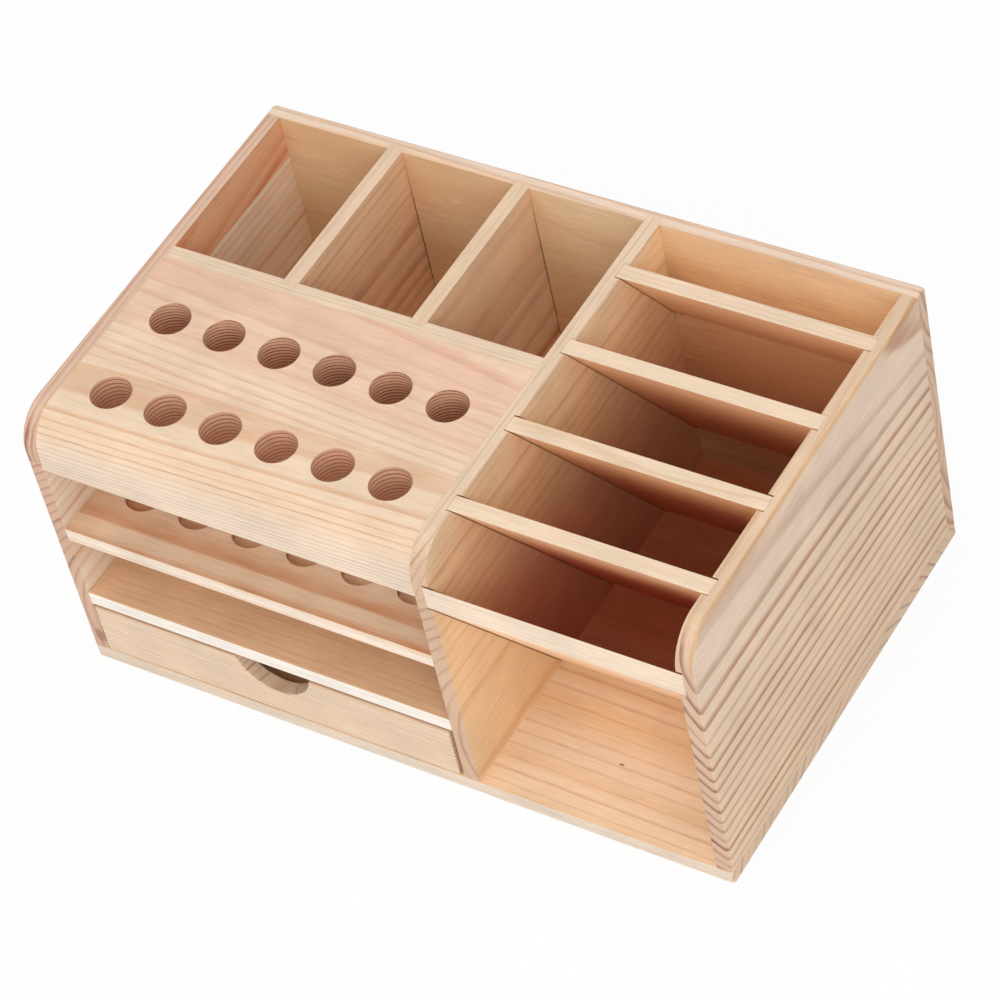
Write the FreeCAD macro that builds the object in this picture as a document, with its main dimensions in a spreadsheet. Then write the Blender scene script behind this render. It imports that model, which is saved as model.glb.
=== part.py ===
import FreeCAD, Part
import os
import Sketcher

# A desktop tool organizer of 8 mm softwood boards, in millimetres, +Z up.
# The origin is the middle of the underside. The front faces -Y and the back board is at +Y.
# Left bay: a drilled tool block, two shelves and a drawer in front, three deep compartments behind.
# Right bay: five parallel slanted boards, housed in the panels on both sides, over an open cubby.

doc = FreeCAD.newDocument("tool_organizer")

# ---------------------------------------------------------------- driving dimensions

DIMENSIONS = [
    ("overall_width", 350, "outside, left to right"),
    ("overall_depth", 225, "outside, front to back"),
    ("overall_height", 165, "outside, underside to top edges"),
    ("board", 8, "thickness of every carcass board"),
    ("left_bay", 202, "clear width between left and middle panel"),
    ("housing", 3, "depth of the grooves that boards are glued into"),
    ("panel_housing", 4, "depth of the back board's groove for the middle panel"),
    ("nose_round", 20, "rounding of the front top edge of panels and tool block"),
    ("arris_round", 2, "rounding of the outer arrises"),
    ("drawer_bay", 33.5, "clear height of the drawer bay"),
    ("shelf_gap", 37.5, "clear height between the two shelves"),
    ("block_depth", 116, "tool block, front to back"),
    ("block_height", 29.5, "tool block, bottom to top"),
    ("hole_bore", 20, "diameter of the tool holes"),
    ("hole_columns", 6, "tool holes in a row"),
    ("hole_pitch", 30.2, "between columns of tool holes"),
    ("hole_inset", 25, "first column from the left end of the block"),
    ("row_pitch", 50, "between the two rows of tool holes"),
    ("row_inset", 32.3, "first row from the front"),
    ("recess_depth", 5, "depth of the tool shelf's recesses under the holes"),
    ("slot_angle", 57.5, "slope of the slanted boards, in degrees from level"),
    ("slot_board", 7.4, "thickness of the slanted boards"),
    ("slot_pitch", 50.6, "between slanted boards, measured front to back"),
    ("slot_count", 5, "slanted boards, the front one included"),
    ("slot_lip", 130.4, "height of the front slanted board's lower front edge"),
    ("play_above", 0.6, "a slanted board's play in its groove, on its upper side"),
    ("play_below", 0.4, "the same, on its underside"),
    ("side_gap_left", 0.8, "drawer to left panel"),
    ("side_gap_right", 2.6, "drawer to middle panel"),
    ("under_gap", 0.3, "drawer to base board"),
    ("over_gap", 0.7, "drawer to lower shelf"),
    ("rear_gap", 0.5, "drawer to back board when it is shut"),
    ("drawer_board", 6, "thickness of the drawer's sides and back"),
    ("drawer_lap", 4, "depth of the rebates in the drawer front"),
    ("ply", 3, "thickness of the drawer bottom"),
    ("ply_rise", 3, "drawer bottom above the drawer's lower edge"),
    ("finger_radius", 21, "radius of the finger notch"),
    ("finger_rise", 3.2, "centre of the notch's arc above the drawer's top edge"),
    ("finger_offset", 101.7, "centre of the notch from the drawer's left end"),
]

dim = doc.addObject("Spreadsheet::Sheet", "dim")
for row, (alias, size, meaning) in enumerate(DIMENSIONS, start=1):
    dim.set(f"A{row}", alias)
    dim.set(f"B{row}", str(size))
    dim.set(f"C{row}", meaning)
    dim.setAlias(f"B{row}", alias)
doc.recompute()

# Places that several pieces share, as expressions of the sheet's cells.
PANEL_HEIGHT = "(dim.overall_height - dim.board)"
PANEL_DEPTH = "(dim.overall_depth - dim.board)"
MIDDLE_X = "(dim.board + dim.left_bay)"
RIGHT_BAY = "(dim.overall_width - 3 * dim.board - dim.left_bay)"
LOWER_SHELF_Z = "(dim.board + dim.drawer_bay)"
LOWER_SHELF_TOP = f"({LOWER_SHELF_Z} + dim.board)"
TOOL_SHELF_Z = f"({LOWER_SHELF_TOP} + dim.shelf_gap)"
WALL_BACK_Y = "(dim.block_depth + dim.board)"
COMPARTMENT = "((dim.left_bay - 2 * dim.board) / 3)"
COMPARTMENT_HEIGHT = f"(dim.overall_height - {LOWER_SHELF_TOP})"
SLOPE = "tan(dim.slot_angle * 1 deg)"
SLOT_RUN = "(dim.slot_board / sin(dim.slot_angle * 1 deg))"
GROOVE_RUN = "((dim.slot_board + dim.play_above) / sin(dim.slot_angle * 1 deg))"
PLAY_RUN = "(dim.play_below / sin(dim.slot_angle * 1 deg))"
DRAWER_WIDTH = "(dim.left_bay - dim.side_gap_left - dim.side_gap_right)"
DRAWER_HEIGHT = "(dim.drawer_bay - dim.under_gap - dim.over_gap)"
DRAWER_LENGTH = f"({PANEL_DEPTH} - dim.rear_gap)"

TINY = 0.01


def value(expression):
    """The number that an expression of the sheet's cells gives."""
    result = dim.evalExpression(expression)
    return float(getattr(result, "Value", result))


# ---------------------------------------------------------------- how a board is made

def new_body(label):
    body = doc.addObject("PartDesign::Body", label)
    body.Label = label
    return body


def place(body, x, y, z):
    """Puts a body's own corner at a point counted from the object's front left bottom corner."""
    body.setExpression(".Placement.Base.x", f"{x} - dim.overall_width / 2")
    body.setExpression(".Placement.Base.y", f"{y} - dim.overall_depth / 2")
    body.setExpression(".Placement.Base.z", f"{z}")


def new_sketch(body, plane, name, offset=None):
    """A sketch on one of the body's own origin planes, or parallel to it at an offset."""
    sketch = body.newObject("Sketcher::SketchObject", name)
    for feature in body.Origin.OriginFeatures:
        if feature.Role == plane:
            sketch.AttachmentSupport = [(feature, "")]
    sketch.MapMode = "FlatFace"
    if offset is not None:
        sketch.setExpression(".AttachmentOffset.Base.z", offset)
    return sketch


def pin_point(sketch, geometry, vertex, point):
    """Binds a sketch point to two expressions, its distances from the sketch's origin."""
    for axis, expression in zip("XY", point):
        if expression == "0":
            axis_line = -2 if axis == "X" else -1
            sketch.addConstraint(Sketcher.Constraint("PointOnObject", geometry, vertex, axis_line))
            continue
        distance = Sketcher.Constraint("Distance" + axis, -1, 1, geometry, vertex, value(expression))
        number = sketch.addConstraint(distance)
        sketch.setExpression(f"Constraints[{number}]", expression)


def draw_outline(sketch, points):
    """A closed outline of straight lines through points given as pairs of expressions."""
    corners = [FreeCAD.Vector(value(x), value(y), 0) for x, y in points]
    first = sketch.GeometryCount
    for corner, following in zip(corners, corners[1:] + corners[:1]):
        sketch.addGeometry(Part.LineSegment(corner, following), False)
    for number, point in enumerate(points):
        line = first + number
        previous = first + (number - 1) % len(points)
        sketch.addConstraint(Sketcher.Constraint("Coincident", previous, 2, line, 1))
        pin_point(sketch, line, 1, point)


def draw_rectangle(sketch, left, bottom, width, height):
    right = width if left == "0" else f"{left} + {width}"
    top = height if bottom == "0" else f"{bottom} + {height}"
    draw_outline(sketch, [(left, bottom), (right, bottom), (right, top), (left, top)])


def draw_circle(sketch, centre, radius):
    middle = FreeCAD.Vector(value(centre[0]), value(centre[1]), 0)
    circle = Part.Circle(middle, FreeCAD.Vector(0, 0, 1), value(radius))
    geometry = sketch.addGeometry(circle, False)
    pin_point(sketch, geometry, 3, centre)
    number = sketch.addConstraint(Sketcher.Constraint("Radius", geometry, value(radius)))
    sketch.setExpression(f"Constraints[{number}]", radius)


def pad(body, sketch, length, away=False):
    """Material from a sketch, along its normal or, with away, against it."""
    feature = body.newObject("PartDesign::Pad", f"{body.Name}_{sketch.Name}_pad")
    feature.Profile = sketch
    feature.Reversed = away
    feature.setExpression("Length", length)
    sketch.Visibility = False
    return feature


def pocket(body, sketch, depth, upward=False):
    """A cut against the sketch's normal or, with upward, along it. It must remove material."""
    doc.recompute()
    before = body.Shape.Volume
    feature = body.newObject("PartDesign::Pocket", f"{body.Name}_{sketch.Name}_pocket")
    feature.Profile = sketch
    feature.Reversed = upward
    feature.setExpression("Length", depth)
    sketch.Visibility = False
    doc.recompute()
    if body.Shape.Volume > before - TINY:
        raise RuntimeError(f"{feature.Name} cuts nothing")
    return feature


def repeat(body, feature, sketch, axis, span, count):
    """A row of one feature along a sketch axis, over a span that ends at the last copy."""
    before = body.Shape.Volume
    pattern = body.newObject("PartDesign::LinearPattern", f"{feature.Name}_row")
    pattern.Originals = [feature]
    pattern.Direction = (sketch, [axis])
    pattern.setExpression("Length", span)
    pattern.setExpression("Occurrences", count)
    body.Tip = pattern
    doc.recompute()
    if body.Shape.Volume > before - TINY:
        raise RuntimeError(f"{pattern.Name} repeats nothing")
    return pattern


def round_edges(body, name, radius, chosen):
    """Rounds the edges whose bounding box passes a test, in the body's own coordinates."""
    doc.recompute()
    base = body.Tip
    edges = base.Shape.Edges
    names = [f"Edge{number}" for number, edge in enumerate(edges, start=1) if chosen(edge.BoundBox)]
    if not names:
        raise RuntimeError(f"{body.Name} has no edge to round for {name}")
    fillet = body.newObject("PartDesign::Fillet", f"{body.Name}_{name}")
    fillet.Base = (base, names)
    fillet.setExpression("Radius", radius)
    body.Tip = fillet
    doc.recompute()
    return fillet


def flat_board(label, width, depth, thickness="dim.board"):
    """A board that lies level, with its own origin at its front left bottom corner."""
    body = new_body(label)
    sketch = new_sketch(body, "XY_Plane", f"{label}_face")
    draw_rectangle(sketch, "0", "0", width, depth)
    pad(body, sketch, thickness)
    return body


def cross_board(label, width, height, thickness="dim.board"):
    """An upright board across the object, with its front face on its own XZ plane."""
    body = new_body(label)
    sketch = new_sketch(body, "XZ_Plane", f"{label}_face")
    draw_rectangle(sketch, "0", "0", width, height)
    pad(body, sketch, thickness, away=True)
    return body


def profile_board(label, points, thickness):
    """A board drawn from its side, as an outline in Y and Z, and padded along X."""
    body = new_body(label)
    sketch = new_sketch(body, "YZ_Plane", f"{label}_profile")
    draw_outline(sketch, points)
    pad(body, sketch, thickness)
    return body


# ---------------------------------------------------------------- carcass

def upright_panel(label, x, depth):
    """A panel that stands on the base board, with its front top corner rounded to the nose."""
    corners = [("0", "0"), (depth, "0"), (depth, PANEL_HEIGHT), ("0", PANEL_HEIGHT)]
    body = profile_board(label, corners, "dim.board")
    place(body, x, "0", "dim.board")
    height = value(PANEL_HEIGHT)
    round_edges(body, "nose", "dim.nose_round",
                lambda box: box.YMax < TINY and box.ZMin > height - TINY)
    return body


def round_outer_arris(body, outer_x):
    """Rounds a panel's outer arris up the front, round the nose and along the top."""
    back = value(PANEL_DEPTH)

    def is_outer(box):
        on_face = abs(box.XMin - outer_x) < TINY and abs(box.XMax - outer_x) < TINY
        return on_face and box.YMin < back - TINY and box.ZMax > TINY
    round_edges(body, "arris", "dim.arris_round", is_outer)


def cut_slot_housings(body, plane_offset, upward):
    """The row of sloping grooves that take the ends of the slanted boards."""
    sketch = new_sketch(body, "YZ_Plane", f"{body.Name}_housing", plane_offset)
    margin = "dim.board"
    lip = "(dim.slot_lip - dim.board)"
    foot = f"({lip} + {margin}) / {SLOPE}"
    head = f"({lip} - {PANEL_HEIGHT} - {margin}) / {SLOPE}"
    top = f"{PANEL_HEIGHT} + {margin}"
    draw_outline(sketch, [
        (f"{foot} - {PLAY_RUN}", f"-{margin}"),
        (f"{foot} + {GROOVE_RUN}", f"-{margin}"),
        (f"{head} + {GROOVE_RUN}", top),
        (f"{head} - {PLAY_RUN}", top),
    ])
    groove = pocket(body, sketch, "dim.housing", upward)
    repeat(body, groove, sketch, "H_Axis", "(dim.slot_count - 1) * dim.slot_pitch", "dim.slot_count")


def make_base_board():
    body = flat_board("base_board", "dim.overall_width", "dim.overall_depth")
    place(body, "0", "0", "0")
    round_edges(body, "corners", "dim.arris_round", lambda box: box.XLength < TINY and box.YLength < TINY)


def make_back_board():
    body = cross_board("back_board", "dim.overall_width", PANEL_HEIGHT)
    place(body, "0", PANEL_DEPTH, "dim.board")

    shelf_top = f"({LOWER_SHELF_TOP} - dim.board)"
    first = new_sketch(body, "XZ_Plane", "divider_housing")
    draw_rectangle(first, f"dim.board + {COMPARTMENT}", shelf_top, "dim.board", COMPARTMENT_HEIGHT)
    groove = pocket(body, first, "dim.housing")
    repeat(body, groove, first, "H_Axis", f"{COMPARTMENT} + dim.board", "2")

    middle = new_sketch(body, "XZ_Plane", "panel_housing")
    draw_rectangle(middle, MIDDLE_X, "0", "dim.board", PANEL_HEIGHT)
    pocket(body, middle, "dim.panel_housing")

    width = value("dim.overall_width")
    height = value(PANEL_HEIGHT)
    back = value("dim.board")

    def is_outer(box):
        at_end = box.XMax < TINY or box.XMin > width - TINY
        at_back = box.YMin > back - TINY
        at_top = box.ZMin > height - TINY
        return (at_end and at_back) or (at_end and at_top) or (at_back and at_top)
    round_edges(body, "arris", "dim.arris_round", is_outer)


def make_side_panels():
    left = upright_panel("left_side_panel", "0", PANEL_DEPTH)
    round_outer_arris(left, 0)

    right = upright_panel("right_side_panel", "dim.overall_width - dim.board", PANEL_DEPTH)
    round_outer_arris(right, value("dim.board"))
    cut_slot_housings(right, "0 mm", upward=True)


def make_middle_panel():
    body = upright_panel("middle_panel", MIDDLE_X, f"({PANEL_DEPTH} + dim.panel_housing)")
    cut_slot_housings(body, "dim.board", upward=False)


# ---------------------------------------------------------------- left bay

def drill_tool_holes(body, start, depth):
    """Two rows of round holes, drilled upward into a level board from a height in it."""
    sketch = new_sketch(body, "XY_Plane", f"{body.Name}_holes", start)
    for row_y in ("dim.row_inset", "dim.row_inset + dim.row_pitch"):
        draw_circle(sketch, ("dim.hole_inset", row_y), "dim.hole_bore / 2")
    drilled = pocket(body, sketch, depth, upward=True)
    repeat(body, drilled, sketch, "H_Axis", "(dim.hole_columns - 1) * dim.hole_pitch", "dim.hole_columns")


def make_tool_block():
    body = flat_board("tool_block", "dim.left_bay", "dim.block_depth", "dim.block_height")
    place(body, "dim.board", "0", "dim.overall_height - dim.block_height")
    top = value("dim.block_height")
    round_edges(body, "nose", "dim.nose_round", lambda box: box.YMax < TINY and box.ZMin > top - TINY)
    drill_tool_holes(body, "0 mm", "dim.block_height")


def make_shelves():
    tool_shelf = flat_board("tool_shelf", "dim.left_bay", "dim.block_depth")
    place(tool_shelf, "dim.board", "0", TOOL_SHELF_Z)
    drill_tool_holes(tool_shelf, "dim.board - dim.recess_depth", "dim.recess_depth")

    lower_shelf = flat_board("lower_shelf", "dim.left_bay", PANEL_DEPTH)
    place(lower_shelf, "dim.board", "0", LOWER_SHELF_Z)


def make_compartments():
    """The wall behind the tool block and two dividers, housed in it and in the back board."""
    wall = cross_board("compartment_wall", "dim.left_bay", COMPARTMENT_HEIGHT)
    place(wall, "dim.board", "dim.block_depth", LOWER_SHELF_TOP)
    sketch = new_sketch(wall, "XZ_Plane", "wall_housing", "-dim.board")
    draw_rectangle(sketch, COMPARTMENT, "0", "dim.board", COMPARTMENT_HEIGHT)
    groove = pocket(wall, sketch, "dim.housing", upward=True)
    repeat(wall, groove, sketch, "H_Axis", f"{COMPARTMENT} + dim.board", "2")

    length = f"({PANEL_DEPTH} - {WALL_BACK_Y} + 2 * dim.housing)"
    corners = [("0", "0"), (length, "0"), (length, COMPARTMENT_HEIGHT), ("0", COMPARTMENT_HEIGHT)]
    for number in (1, 2):
        divider = profile_board(f"compartment_divider_{number}", corners, "dim.board")
        x = f"{number} * ({COMPARTMENT} + dim.board)"
        place(divider, x, f"{WALL_BACK_Y} - dim.housing", LOWER_SHELF_TOP)


# ---------------------------------------------------------------- right bay

def slot_points(number):
    """The side outline of a slanted board, in Y from the front and Z from the ground.

    The front one ends flush with the panels' front edges. The others end flush with their
    top edges. Each runs down to the base board or, where it is too far back, to the back board.
    """
    start = f"{number} * dim.slot_pitch"

    def face_y(height):
        return f"{start} + (dim.slot_lip - {height}) / {SLOPE}"

    drop_at_back = f"({PANEL_DEPTH} - {start}) * {SLOPE}"
    if number == 0:
        head = [("0", f"dim.slot_lip + {SLOT_RUN} * {SLOPE}"), ("0", "dim.slot_lip")]
    else:
        top = "dim.overall_height"
        head = [(f"{face_y(top)} + {SLOT_RUN}", top), (face_y(top), top)]
    if value(f"{face_y('dim.board')} + {SLOT_RUN}") < value(PANEL_DEPTH):
        foot = [(face_y("dim.board"), "dim.board"), (f"{face_y('dim.board')} + {SLOT_RUN}", "dim.board")]
    else:
        low = f"dim.slot_lip - {drop_at_back}"
        foot = [(PANEL_DEPTH, low), (PANEL_DEPTH, f"{low} + {SLOT_RUN} * {SLOPE}")]
    return head + foot


def make_slot_boards():
    width = f"({RIGHT_BAY} + 2 * dim.housing)"
    for number in range(int(value("dim.slot_count"))):
        label = f"slot_divider_{number}" if number else "slot_front_board"
        body = profile_board(label, slot_points(number), width)
        place(body, f"{MIDDLE_X} + dim.board - dim.housing", "0", "0")


# ---------------------------------------------------------------- drawer

DRAWER_X = "(dim.board + dim.side_gap_left)"
DRAWER_Z = "(dim.board + dim.under_gap)"
SIDE_LENGTH = f"({DRAWER_LENGTH} - dim.board + dim.drawer_lap)"
INNER_WIDTH = f"({DRAWER_WIDTH} - 2 * dim.drawer_board)"


def cut_bottom_groove(body, plane, offset, start, length, upward):
    """The groove near the lower edge that holds the drawer bottom."""
    sketch = new_sketch(body, plane, f"{body.Name}_groove", offset)
    draw_rectangle(sketch, start, "dim.ply_rise", length, "dim.ply")
    pocket(body, sketch, "dim.housing", upward)


def make_drawer_front():
    body = cross_board("drawer_front", DRAWER_WIDTH, DRAWER_HEIGHT)
    place(body, DRAWER_X, "0", DRAWER_Z)

    rebates = new_sketch(body, "XZ_Plane", "rebates", "-dim.board")
    draw_rectangle(rebates, "0", "0", "dim.drawer_board", DRAWER_HEIGHT)
    far_end = f"{DRAWER_WIDTH} - dim.drawer_board"
    draw_rectangle(rebates, far_end, "0", "dim.drawer_board", DRAWER_HEIGHT)
    pocket(body, rebates, "dim.drawer_lap", upward=True)

    cut_bottom_groove(body, "XZ_Plane", "-dim.board", "dim.drawer_board", INNER_WIDTH, upward=True)

    notch = new_sketch(body, "XZ_Plane", "finger_notch")
    draw_circle(notch, ("dim.finger_offset", f"{DRAWER_HEIGHT} + dim.finger_rise"), "dim.finger_radius")
    pocket(body, notch, "dim.board")


def make_drawer_sides():
    corners = [("0", "0"), (SIDE_LENGTH, "0"), (SIDE_LENGTH, DRAWER_HEIGHT), ("0", DRAWER_HEIGHT)]
    front_y = "dim.board - dim.drawer_lap"

    left = profile_board("drawer_left_side", corners, "dim.drawer_board")
    place(left, DRAWER_X, front_y, DRAWER_Z)
    cut_bottom_groove(left, "YZ_Plane", "dim.drawer_board", "0", SIDE_LENGTH, upward=False)

    right = profile_board("drawer_right_side", corners, "dim.drawer_board")
    place(right, f"{DRAWER_X} + {DRAWER_WIDTH} - dim.drawer_board", front_y, DRAWER_Z)
    cut_bottom_groove(right, "YZ_Plane", "0 mm", "0", SIDE_LENGTH, upward=True)


def make_drawer_back():
    body = cross_board("drawer_back", INNER_WIDTH, DRAWER_HEIGHT, "dim.drawer_board")
    place(body, f"{DRAWER_X} + dim.drawer_board", f"{DRAWER_LENGTH} - dim.drawer_board", DRAWER_Z)
    cut_bottom_groove(body, "XZ_Plane", "0 mm", "0", INNER_WIDTH, upward=False)


def make_drawer_bottom():
    """A thin panel that reaches the full depth of the grooves on all four sides."""
    width = f"({INNER_WIDTH} + 2 * dim.housing)"
    length = f"({DRAWER_LENGTH} - dim.board - dim.drawer_board + 2 * dim.housing)"
    body = flat_board("drawer_bottom", width, length, "dim.ply")
    x = f"{DRAWER_X} + dim.drawer_board - dim.housing"
    place(body, x, "dim.board - dim.housing", f"{DRAWER_Z} + dim.ply_rise")


# ---------------------------------------------------------------- build, check and write

make_base_board()
make_back_board()
make_side_panels()
make_middle_panel()
make_tool_block()
make_shelves()
make_compartments()
make_slot_boards()
make_drawer_front()
make_drawer_sides()
make_drawer_back()
make_drawer_bottom()
doc.recompute()

for item in doc.Objects:
    if "Invalid" in item.State or "Error" in item.State:
        raise RuntimeError(f"{item.Name} did not recompute: {item.State}")

bodies = [item for item in doc.Objects if item.TypeId == "PartDesign::Body"]
for body in bodies:
    if body.Shape.isNull() or not body.Shape.isValid() or len(body.Shape.Solids) != 1:
        raise RuntimeError(f"{body.Label} is not one valid solid")

os.makedirs("parts", exist_ok=True)
for body in bodies:
    body.Shape.exportStep(os.path.join("parts", body.Label + ".step"))
    box = body.Shape.BoundBox
    print(f"{body.Label:24s} x {box.XMin:8.2f} {box.XMax:8.2f}  y {box.YMin:8.2f} {box.YMax:8.2f}"
          f"  z {box.ZMin:7.2f} {box.ZMax:7.2f}  volume {body.Shape.Volume / 1000:8.2f} cm3")
print(len(bodies), "pieces written")
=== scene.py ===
import math

import bpy
from mathutils import Matrix, Vector


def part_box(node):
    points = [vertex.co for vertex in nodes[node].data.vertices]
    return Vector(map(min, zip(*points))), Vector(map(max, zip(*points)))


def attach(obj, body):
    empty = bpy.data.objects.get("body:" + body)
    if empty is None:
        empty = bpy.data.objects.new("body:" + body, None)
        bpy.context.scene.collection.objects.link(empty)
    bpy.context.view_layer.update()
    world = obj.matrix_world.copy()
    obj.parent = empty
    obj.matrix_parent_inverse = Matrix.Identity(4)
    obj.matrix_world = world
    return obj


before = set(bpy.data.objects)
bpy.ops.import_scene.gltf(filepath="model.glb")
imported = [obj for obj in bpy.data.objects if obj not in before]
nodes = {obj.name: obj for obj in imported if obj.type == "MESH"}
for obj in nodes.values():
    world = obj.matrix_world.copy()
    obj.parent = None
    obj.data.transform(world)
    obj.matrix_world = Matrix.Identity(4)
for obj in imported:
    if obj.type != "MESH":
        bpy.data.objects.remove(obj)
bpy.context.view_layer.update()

print("frame loaded,", len(nodes), "boards")

plainWhite = (1, 1, 1, 1)


def mm(value):
    return value * 0.001


def linearColour(hexColour):
    # sRGB hex to the linear numbers that shader sockets take
    channels = [int(hexColour[i:i + 2], 16) / 255 for i in (1, 3, 5)]
    linear = [c / 12.92 if c <= 0.04045 else ((c + 0.055) / 1.055) ** 2.4 for c in channels]
    return (*linear, 1.0)


def addNode(tree, kind, inputs=None, **settings):
    # adds a node; an input given as a node is linked to its first live output, or as (node, name) to that one
    node = tree.nodes.new(kind)
    for key, value in settings.items():
        setattr(node, key, value)
    for key, value in (inputs or {}).items():
        if isinstance(value, bpy.types.Node):
            tree.links.new(next(output for output in value.outputs if output.enabled), node.inputs[key])
        elif isinstance(value, tuple) and isinstance(value[0], bpy.types.Node):
            tree.links.new(value[0].outputs[value[1]], node.inputs[key])
        else:
            node.inputs[key].default_value = value
    return node


# metres; right and up are the ways those sides of the picture look
camera = {
    "place": (0.85110, -0.99825, 1.45894),
    "right": (0.85196, 0.49702, -0.16470),
    "up": (-0.27573, 0.69329, 0.66583),
    "lens": 147.68, "film": 36,
}


def makeCamera(look):
    data = bpy.data.cameras.new("shotCamera")
    data.sensor_width = look["film"]
    data.lens = look["lens"]
    data.clip_start = 0.05
    data.clip_end = 30
    shot = bpy.data.objects.new("shotCamera", data)
    bpy.context.scene.collection.objects.link(shot)
    right = Vector(look["right"]).normalized()
    back = right.cross(Vector(look["up"])).normalized()
    up = back.cross(right)
    turn = Matrix((right, up, back)).transposed().to_4x4()
    shot.matrix_world = Matrix.Translation(look["place"]) @ turn
    bpy.context.scene.camera = shot


makeCamera(camera)
print("camera placed")


# planed and sanded pine, left bare: the growth rings of the tree cut as they run through the
# solid board, soft pale earlywood with thin amber latewood lines, dull and faintly fuzzy to
# the eye; the narrow edges are paler, the sawn ends darker and hatched by the rings
pineDefaults = {
    "grain": "x",                   # axis along the fibres
    "through": (0, 0, 1),           # the way through the board, which its wide faces look along
    "inside": (0, 0, 0),            # the way its inner face looks
    "bothInside": False,            # whether the opposite face is an inner one too
    "face": "#eccfb0", "faceLine": "#d3a377",       # outer wide face, and the rings on it
    "inner": "#ebc199", "innerLine": "#cf935f",     # inner wide face
    "edge": "#f2dcc4", "edgeLine": "#dfb890",       # long narrow edge
    "end": "#e0bfa2", "endLine": "#b17f66",         # sawn end
    "arris": "#fbf0e2",             # tint where sanding rounded an arris
    "arrisAbove": None,             # mm up, where the arrises start to be tinted, if not all along
    "joinedAlong": "rise",          # the way its glued strips lie side by side
    "marks": [],                    # pin knots, stains and glue spots: mm, and how dark
    "bored": None,                  # mm across the grain, from and to, where holes are bored
    "boredTone": "#cb9478", "boredLine": "#8b523c",
    "blotch": 0.06,                 # how much its tone drifts
    "tintInnerOnly": False,         # whether its strips' tints show on the inner face alone
    "innerDepth": 1.0,              # how dark the lines are on the inner face against the outer
    "behindSlots": False,           # whether its inner face lines the slanted slots and gets the painted shade of their depth
    "slotShadeTone": "#ffc8c6",          # painted shade: tint of that face in their depth, where shade falls
    "slotShadeBack": 0.5,            # share of that painted shade left far from the front board
}

stripDefaults = {
    "from": -1000.0,        # mm, where the strip starts
    "pith": (0.0, -60.0),   # mm, the tree's centre in the two axes across the grain
    "drift": (0.0, 0.0),    # mm that centre moves for each mm of grain
    "bow": (0.0, 0.0),      # and how fast that grows, per mm again
    "bowFrom": 0.0,         # mm along the grain
    "ringWidth": 4.0,       # mm from ring to ring at ringRadius
    "ringRadius": 90.0,     # mm
    "ringPower": 1.3,       # above 1, rings get narrower outward
    "ringStart": 0.0,       # shifts all rings by this share of one
    "wander": 3.0,          # mm, slow waviness of the rings
    "ripple": 0.5,          # mm, short waves
    "lateShare": 0.32,      # how much of a ring turns darker
    "depth": 1.0,           # how dark its lines are
    "tone": "#ffffff",      # tint of the strip
    "bandTone": "#ffffff",  # tint of its darker years
    "bandRings": 2.5,       # and about how many rings apart those come
    "lineTone": "#ffffff",  # tint of its lines
    "core": (0.0, 0.0),     # mm from the pith over which the lines come to their full strength
    "coreDepth": 0.3,       # how dark they are before that
    "heart": (900.0, 901.0),    # mm from the pith over which sapwood turns to heartwood
    "heartTone": "#ffffff",
    "boredFiner": 0.0,      # how many more rings a bored hole cuts through than show on the face
    "seed": 0.0,
}

# what all the boards share
pineGrain = {
    "slowWave": 45, "shortWave": 7,     # mm, the rings' waves across the grain
    "waveStretch": 0.25,                # along it they are four times as long
    "waveApart": (37, 11, 5),           # mm between the waves of two boards for each 1 of seed
    "blotchApart": (19, 7, 3),          # and between their blotches
    "luckApart": 7.13,                  # years between the luck of theirs
    "noiseEnds": (0.3, 0.7),            # a noise seldom goes beyond these
    "lineFade": (0.75, 1.15),           # how the lines weaken and strengthen along their run
    "lateLatest": 0.95,                 # where in its year latewood would start if it had no share
    "lateLuck": 0.2,                    # and how much sooner it does by luck
    "ringEnd": 0.9,                     # where in its year the latewood is darkest
    "weakestRing": 0.35,                # against the strongest
    "firstRing": 20.0,                  # keeps the ring count above zero
    "darkYears": (0.42, 0.62),          # of the noise over the years, where they turn darker
    "boredDepth": 0.6,                  # how much darker the lines get where a drill cut them
    "jointHalf": 0.1,                   # mm, over which one glued strip gives way to the next
    # real fibres are too fine to show, so these are coarse: mm, strands 0.8 wide and 16 long
    "fibre": 0.8, "fibreStretch": 0.05,
    "fibreTones": (0.92, 1.07),         # darkest and lightest of them
    "blotch": 35,                       # mm, patches of slightly other tone
    "arrisRise": 10.0,                  # mm below arrisAbove, where the tint begins
    "markFade": (1.5, 0.9),             # times a mark's size, where it begins and is full
    "markFray": 0.8,                    # and how much the fibres fray that
    "relief": 0.4,                      # mm, how proud the latewood and the fibres could stand
    "reliefStrength": 0.25,             # how much of that shows
    "reliefLine": 0.5, "reliefFibre": 0.6,      # and how much of it is each one's
    "roughness": (0.65, 0.52),          # earlywood, and the harder latewood
}

# where one kind of surface gives way to another: how straight it looks along the grain, through
# the board or inward, as a cosine, from not yet to fully
surfaceTurns = {
    "end": (0.3, 0.9),
    "edge": (0.9, 0.4),
    "inner": (0.88, 0.96),
    "arris": (0.02, 0.2),       # cosine and sine multiplied and squared, 0.25 at most
}

# which way the thickness of the slanted boards looks
slantedThrough = (0.0, 0.843, 0.537)

# mm, where the painted shade in the slots between them grows dark
slotDepths = {
    "start": (-18.6, -18.0),    # off the front board, where they begin
    "rise": (130.0, 55.0),      # up, from no shade to full
    "fade": (-10.0, 90.0),      # off the front board, from full to slotShadeBack
    "lineFade": 0.7,            # how much of the growth rings the shade hides
}


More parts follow.
